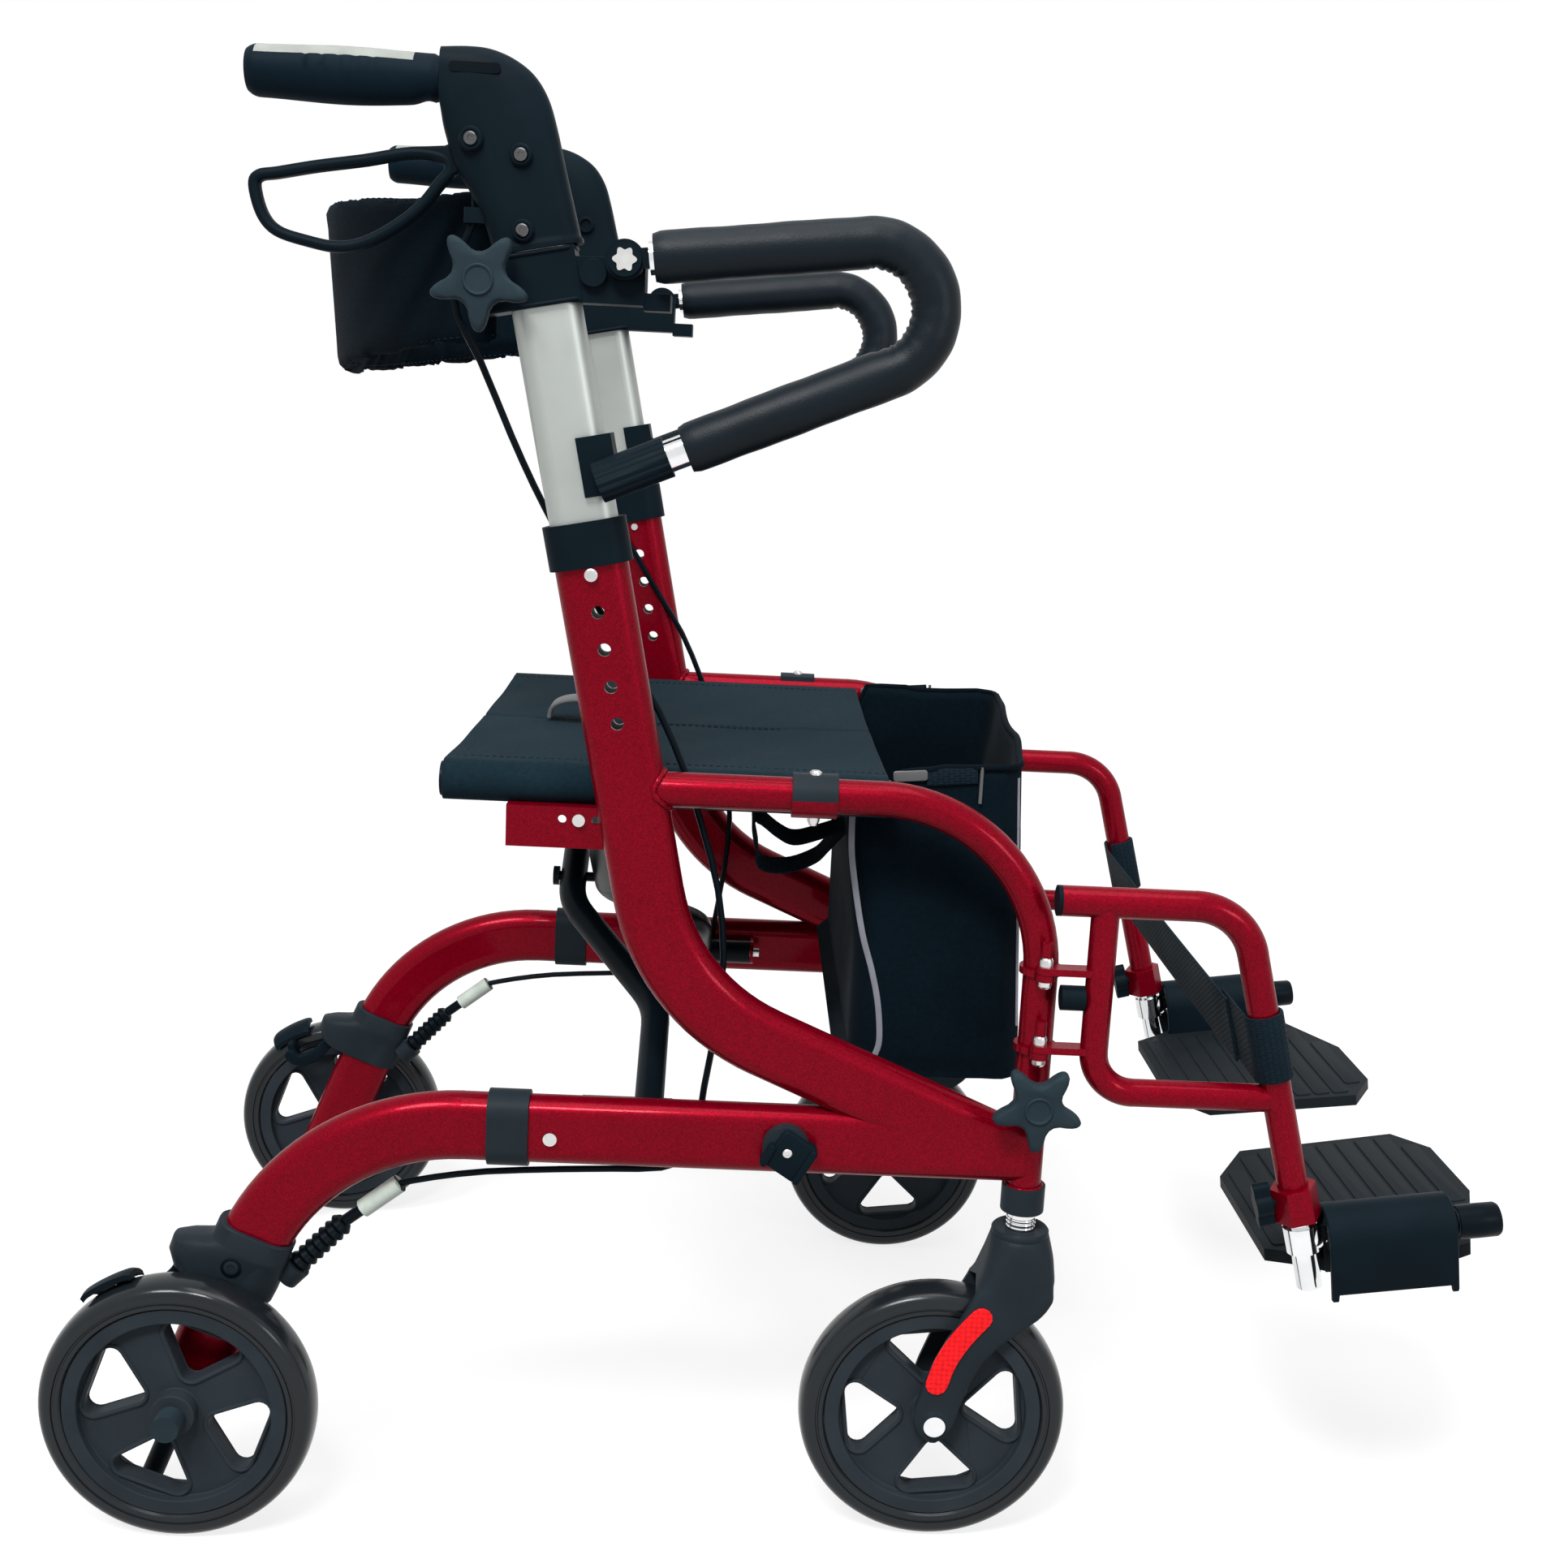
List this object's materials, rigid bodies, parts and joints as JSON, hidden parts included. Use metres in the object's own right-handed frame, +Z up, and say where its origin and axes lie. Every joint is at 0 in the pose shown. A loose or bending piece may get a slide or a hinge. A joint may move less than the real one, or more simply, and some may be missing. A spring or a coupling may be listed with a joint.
{
  "type": "rollator transport chair",
  "caption": "Folding rollator that doubles as a transport chair, with loop brakes, fabric seat, flip-up armrests and swing-away footrests.",
  "frame": {"origin": "middle of the box on the floor", "axes": "+X forward, +Y to the sitter's left, +Z up"},
  "size_m": [1.0768, 0.635, 1.051],
  "materials": {
    "red_paint": "gloss metallic",
    "anodised": "satin",
    "black_plastic": "satin",
    "slate_plastic": "satin",
    "knob_plastic": "matt",
    "grip_rubber": "matt",
    "steel": "satin",
    "chrome": "polished",
    "cable_sleeve": "satin",
    "tyre": "satin",
    "foam": "matt",
    "black_steel": "satin",
    "nylon": "woven"
  },
  "bodies": {
    "right_frame": {"side_frame_r": "red_paint", "push_tube_r": "anodised", "handle_housing_r": "black_plastic", "hand_grip_r": "grip_rubber", "arm_clamp_r": "black_plastic", "frame_fasteners_r": "steel", "brake_cable_r": "cable_sleeve", "frame_fittings_r": "slate_plastic", "storage_bag": "nylon", "backrest_band": "nylon"},
    "armrest_r": {"armrest_tube_r": "chrome", "armrest_foam_r": "foam", "armrest_saddle_r": "black_plastic"},
    "brake_lever_r": {"brake_lever_r": "black_plastic"},
    "brake_arm_r": {"brake_arm_r": "black_plastic"},
    "rear_wheel_r": {"rear_tyre_r": "tyre", "rear_rim_r": "slate_plastic"},
    "caster_r": {"caster_fork_r": "slate_plastic", "caster_stem_r": "chrome"},
    "front_wheel_r": {"front_tyre_r": "tyre", "front_rim_r": "slate_plastic"},
    "upper_knob_r": {"upper_knob_r": "knob_plastic"},
    "front_knob_r": {"front_knob_r": "knob_plastic"},
    "hanger_r": {"footrest_hanger_r": "red_paint", "footrest_clamp_r": "black_plastic", "calf_strap_r": "nylon"},
    "footrest_slide_r": {"footrest_slide_r": "chrome"},
    "footplate_r": {"footplate_r": "black_plastic"},
    "footrest_knob_r": {"footrest_knob_r": "black_plastic"},
    "left_frame": {"side_frame_l": "red_paint", "push_tube_l": "anodised", "handle_housing_l": "black_plastic", "hand_grip_l": "grip_rubber", "arm_clamp_l": "black_plastic", "frame_fasteners_l": "steel", "brake_cable_l": "cable_sleeve", "frame_fittings_l": "slate_plastic"},
    "armrest_l": {"armrest_tube_l": "chrome", "armrest_foam_l": "foam", "armrest_saddle_l": "black_plastic"},
    "brake_lever_l": {"brake_lever_l": "black_plastic"},
    "brake_arm_l": {"brake_arm_l": "black_plastic"},
    "rear_wheel_l": {"rear_tyre_l": "tyre", "rear_rim_l": "slate_plastic"},
    "caster_l": {"caster_fork_l": "slate_plastic", "caster_stem_l": "chrome"},
    "front_wheel_l": {"front_tyre_l": "tyre", "front_rim_l": "slate_plastic"},
    "upper_knob_l": {"upper_knob_l": "knob_plastic"},
    "front_knob_l": {"front_knob_l": "knob_plastic"},
    "hanger_l": {"footrest_hanger_l": "red_paint", "footrest_clamp_l": "black_plastic", "calf_strap_l": "nylon"},
    "footrest_slide_l": {"footrest_slide_l": "chrome"},
    "footplate_l": {"footplate_l": "black_plastic"},
    "footrest_knob_l": {"footrest_knob_l": "black_plastic"},
    "cross_brace_a": {"cross_brace_a": "black_steel", "seat_sling": "nylon"},
    "cross_brace_b": {"cross_brace_b": "black_steel"}
  },
  "joints": [
    {"name": "fold", "type": "hinge", "parent": "right_frame", "child": "cross_brace_a", "pos_m": [-0.12342, -0.212, 0.312], "axis": [1, 0, 0], "range_deg": [0, 14], "deforming": ["seat_sling", "storage_bag", "backrest_band", "calf_strap_r", "calf_strap_l"]},
    {"name": "brace_scissor", "type": "hinge", "parent": "cross_brace_a", "child": "cross_brace_b", "pos_m": [-0.17142, 0, 0.436], "axis": [1, 0, 0], "range_deg": [-28, 0]},
    {"name": "left_frame_pivot", "type": "hinge", "parent": "cross_brace_b", "child": "left_frame", "pos_m": [-0.06142, 0.212, 0.312], "axis": [1, 0, 0], "range_deg": [0, 14]},
    {"name": "armrest_flip_r", "type": "hinge", "parent": "right_frame", "child": "armrest_r", "pos_m": [-0.14042, -0.268, 0.9216], "axis": [0, -1, 0], "range_deg": [0, 95]},
    {"name": "brake_squeeze_r", "type": "hinge", "parent": "right_frame", "child": "brake_lever_r", "pos_m": [-0.24253, -0.246, 0.9925], "axis": [0, 1, 0], "range_deg": [0, 14], "stiffness_Nm_per_rad": 1.5},
    {"name": "brake_shoe_r", "type": "hinge", "parent": "right_frame", "child": "brake_arm_r", "pos_m": [-0.44042, -0.246, 0.208], "axis": [0, -1, 0], "range_deg": [0, 2.4]},
    {"name": "rear_wheel_spin_r", "type": "hinge", "parent": "right_frame", "child": "rear_wheel_r", "pos_m": [-0.43842, -0.281, 0.1], "axis": [0, 1, 0], "continuous": true},
    {"name": "caster_swivel_r", "type": "hinge", "parent": "right_frame", "child": "caster_r", "pos_m": [0.17158, -0.246, 0.26], "axis": [0, 0, 1], "continuous": true},
    {"name": "front_wheel_spin_r", "type": "hinge", "parent": "caster_r", "child": "front_wheel_r", "pos_m": [0.11458, -0.246, 0.1], "axis": [0, 1, 0], "continuous": true},
    {"name": "upper_knob_turn_r", "type": "hinge", "parent": "right_frame", "child": "upper_knob_r", "pos_m": [-0.23347, -0.27, 0.9036], "axis": [0, 1, 0], "continuous": true},
    {"name": "front_knob_turn_r", "type": "hinge", "parent": "right_frame", "child": "front_knob_r", "pos_m": [0.17158, -0.268, 0.353], "axis": [0, 1, 0], "continuous": true},
    {"name": "footrest_swing_r", "type": "hinge", "parent": "right_frame", "child": "hanger_r", "pos_m": [0.17158, -0.266, 0.42], "axis": [0, 0, -1], "range_deg": [0, 95]},
    {"name": "footrest_extend_r", "type": "slide", "parent": "hanger_r", "child": "footrest_slide_r", "axis": [0.2588, 0, -0.9659], "range_m": [0, 0.06]},
    {"name": "footplate_flip_r", "type": "hinge", "parent": "footrest_slide_r", "child": "footplate_r", "pos_m": [0.37723, -0.266, 0.258], "axis": [0.9903, 0, 0.1392], "range_deg": [0, 90]},
    {"name": "footrest_knob_turn_r", "type": "hinge", "parent": "hanger_r", "child": "footrest_knob_r", "pos_m": [0.36626, -0.266, 0.28773], "axis": [0.9659, 0, 0.2588], "continuous": true},
    {"name": "armrest_flip_l", "type": "hinge", "parent": "left_frame", "child": "armrest_l", "pos_m": [-0.14042, 0.268, 0.9216], "axis": [0, -1, 0], "range_deg": [0, 95]},
    {"name": "brake_squeeze_l", "type": "hinge", "parent": "left_frame", "child": "brake_lever_l", "pos_m": [-0.24253, 0.246, 0.9925], "axis": [0, 1, 0], "range_deg": [0, 14], "stiffness_Nm_per_rad": 1.5},
    {"name": "brake_shoe_l", "type": "hinge", "parent": "left_frame", "child": "brake_arm_l", "pos_m": [-0.44042, 0.246, 0.208], "axis": [0, -1, 0], "range_deg": [0, 2.4]},
    {"name": "rear_wheel_spin_l", "type": "hinge", "parent": "left_frame", "child": "rear_wheel_l", "pos_m": [-0.43842, 0.281, 0.1], "axis": [0, 1, 0], "continuous": true},
    {"name": "caster_swivel_l", "type": "hinge", "parent": "left_frame", "child": "caster_l", "pos_m": [0.17158, 0.246, 0.26], "axis": [0, 0, 1], "continuous": true},
    {"name": "front_wheel_spin_l", "type": "hinge", "parent": "caster_l", "child": "front_wheel_l", "pos_m": [0.11458, 0.246, 0.1], "axis": [0, 1, 0], "continuous": true},
    {"name": "upper_knob_turn_l", "type": "hinge", "parent": "left_frame", "child": "upper_knob_l", "pos_m": [-0.23347, 0.27, 0.9036], "axis": [0, 1, 0], "continuous": true},
    {"name": "front_knob_turn_l", "type": "hinge", "parent": "left_frame", "child": "front_knob_l", "pos_m": [0.17158, 0.268, 0.353], "axis": [0, 1, 0], "continuous": true},
    {"name": "footrest_swing_l", "type": "hinge", "parent": "left_frame", "child": "hanger_l", "pos_m": [0.17158, 0.266, 0.42], "axis": [0, 0, 1], "range_deg": [0, 95]},
    {"name": "footrest_extend_l", "type": "slide", "parent": "hanger_l", "child": "footrest_slide_l", "axis": [0.2588, 0, -0.9659], "range_m": [0, 0.06]},
    {"name": "footplate_flip_l", "type": "hinge", "parent": "footrest_slide_l", "child": "footplate_l", "pos_m": [0.37723, 0.266, 0.258], "axis": [-0.9903, 0, -0.1392], "range_deg": [0, 90]},
    {"name": "footrest_knob_turn_l", "type": "hinge", "parent": "hanger_l", "child": "footrest_knob_l", "pos_m": [0.36626, 0.266, 0.28773], "axis": [0.9659, 0, 0.2588], "continuous": true}
  ],
  "couplings": [
    {"joint": "brace_scissor", "follows": "fold", "ratio": -2},
    {"joint": "left_frame_pivot", "follows": "fold", "ratio": 1},
    {"joint": "brake_shoe_r", "follows": "brake_squeeze_r", "ratio": 0.17143},
    {"joint": "brake_shoe_l", "follows": "brake_squeeze_l", "ratio": 0.17143}
  ]
}
